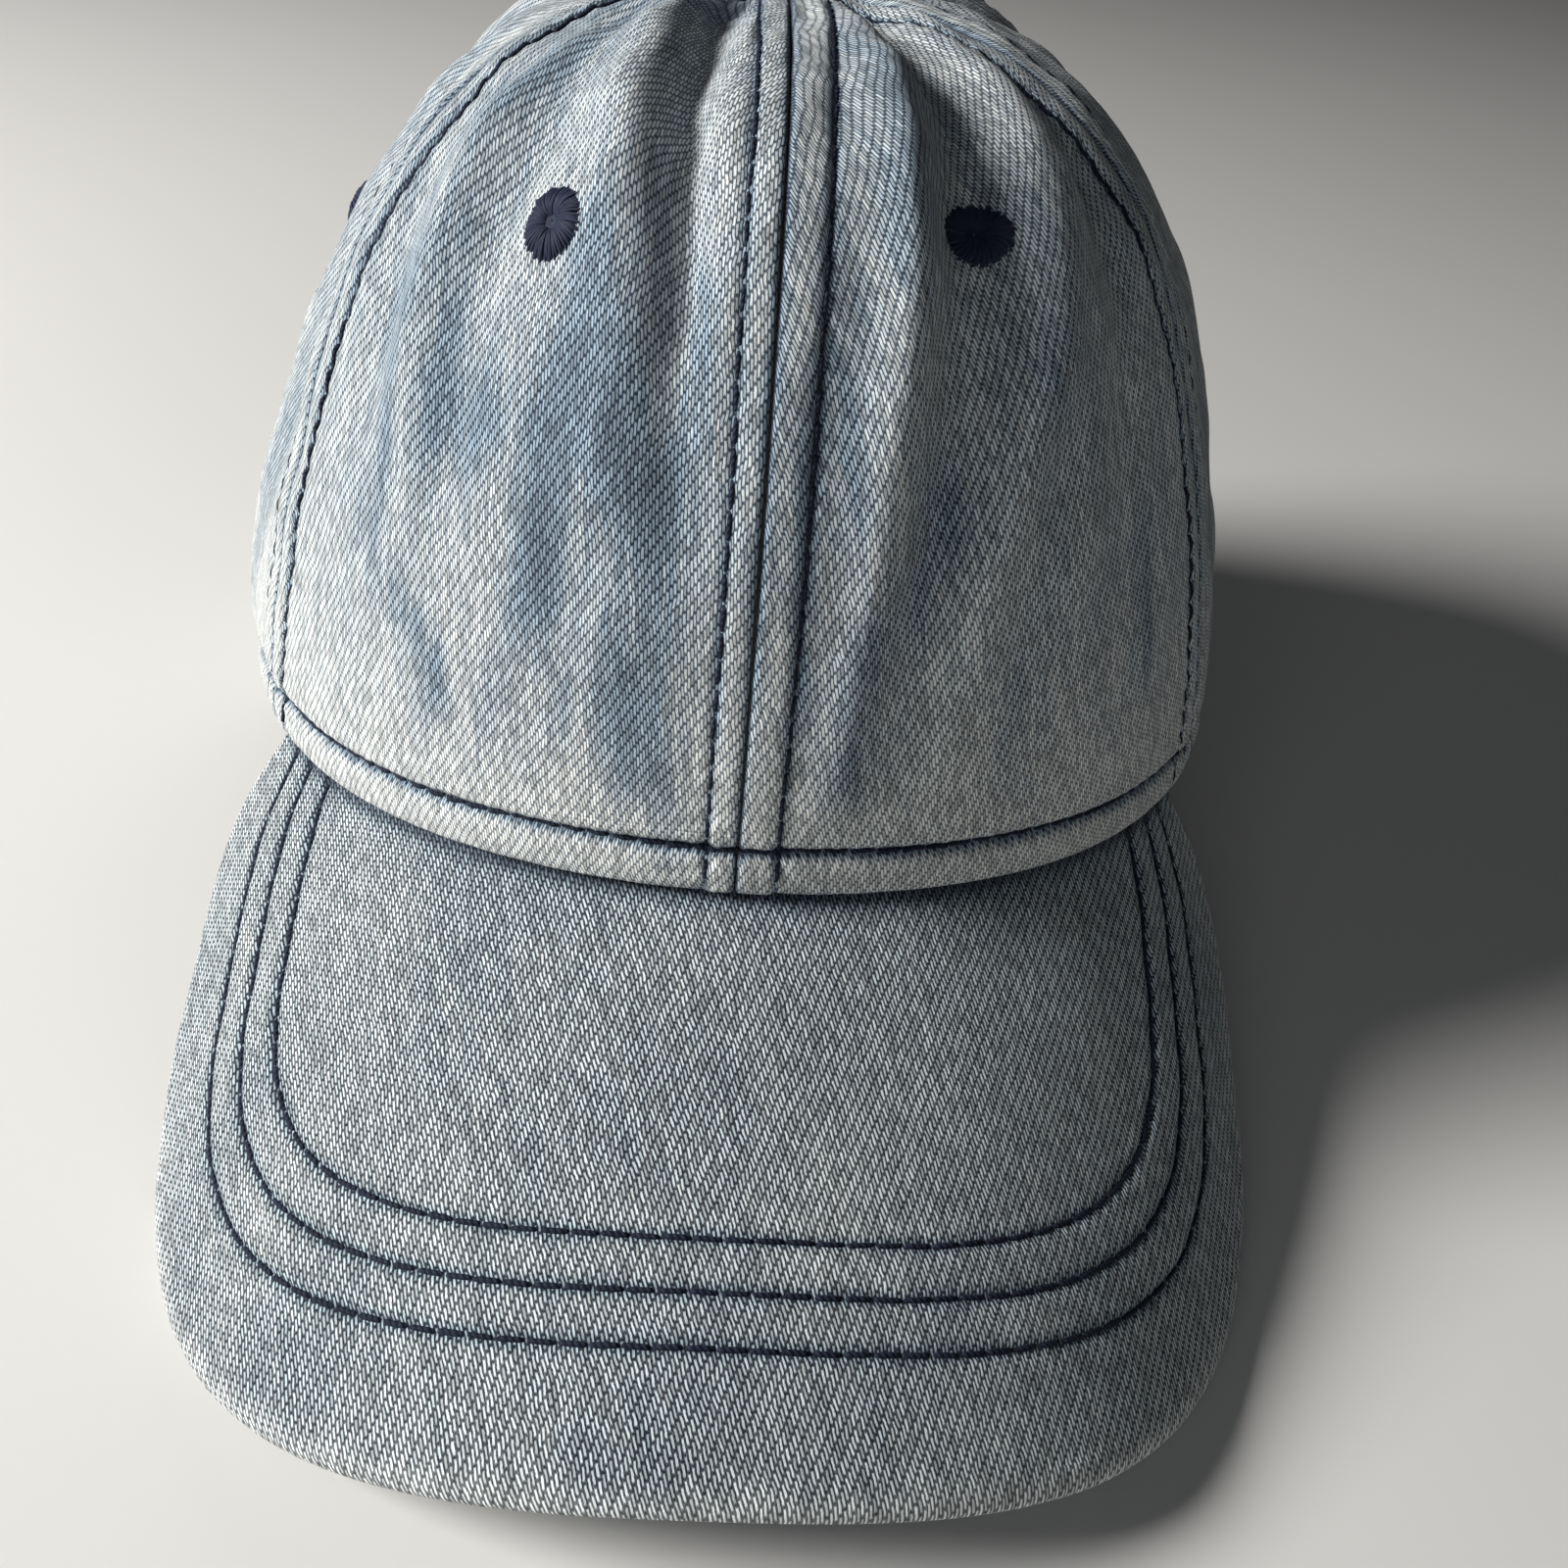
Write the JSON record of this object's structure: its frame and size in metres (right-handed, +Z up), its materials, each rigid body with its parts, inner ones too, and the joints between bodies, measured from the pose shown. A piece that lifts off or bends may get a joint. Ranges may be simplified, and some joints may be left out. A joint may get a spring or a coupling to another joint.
{
  "type": "baseball cap",
  "caption": "Soft washed-denim baseball cap with a curved stitched brim, paneled crown, air eyelets and an adjustable strap and clamp buckle at the back.",
  "frame": {"origin": "on the table, under the middle of the whole cap", "axes": "+Z up, -Y towards the tip of the brim, +X towards the wearer's left"},
  "size_m": [0.1698, 0.2626, 0.1461],
  "materials": {
    "crown_denim": "washed light-blue twill",
    "brim_denim": "washed grey-blue twill",
    "navy_thread": "matte polyester thread",
    "cotton_tape": "plain-weave cotton tape",
    "sweatband_cotton": "plain cotton",
    "brim_board": "moulded sheet",
    "antique_brass": "dull antique plating"
  },
  "bodies": {
    "cap": {"back_left_panel": "crown_denim", "back_right_panel": "crown_denim", "brim_board": "brim_board", "brim_stitch_row_inner": "navy_thread", "brim_stitch_row_middle": "navy_thread", "brim_stitch_row_outer": "navy_thread", "brim_top_cover": "brim_denim", "brim_under_cover": "brim_denim", "buckle_frame": "antique_brass", "buckle_pin": "antique_brass", "buckle_tab": "crown_denim", "button_back_plate": "antique_brass", "eyelet_back_left": "navy_thread", "eyelet_back_right": "navy_thread", "eyelet_front_left": "navy_thread", "eyelet_front_right": "navy_thread", "eyelet_side_left": "navy_thread", "eyelet_side_right": "navy_thread", "front_left_panel": "crown_denim", "front_right_panel": "crown_denim", "opening_binding": "crown_denim", "rim_stitch_row": "navy_thread", "seam_tape_back": "cotton_tape", "seam_tape_front": "cotton_tape", "seam_tape_left_back": "cotton_tape", "seam_tape_left_front": "cotton_tape", "seam_tape_right_back": "cotton_tape", "seam_tape_right_front": "cotton_tape", "side_left_panel": "crown_denim", "side_right_panel": "crown_denim", "sweatband": "sweatband_cotton", "top_button": "crown_denim", "topstitch_back_seam_left": "navy_thread", "topstitch_back_seam_right": "navy_thread", "topstitch_front_seam_left": "navy_thread", "topstitch_front_seam_right": "navy_thread", "topstitch_left_back_seam_left": "navy_thread", "topstitch_left_back_seam_right": "navy_thread", "topstitch_left_front_seam_left": "navy_thread", "topstitch_left_front_seam_right": "navy_thread", "topstitch_right_back_seam_left": "navy_thread", "topstitch_right_back_seam_right": "navy_thread", "topstitch_right_front_seam_left": "navy_thread", "topstitch_right_front_seam_right": "navy_thread"},
    "strap": {"back_strap": "crown_denim"},
    "lever": {"buckle_lever": "antique_brass"}
  },
  "joints": [
    {"name": "strap_slide", "type": "hinge", "parent": "cap", "child": "strap", "pos_m": [0, 0.05511, 0.018], "axis": [0, 0, 1], "range_deg": [-6, 10]},
    {"name": "buckle_lever_flip", "type": "hinge", "parent": "cap", "child": "lever", "pos_m": [-0.01707, 0.12907, 0.018], "axis": [0, 0, -1], "range_deg": [0, 105]}
  ]
}
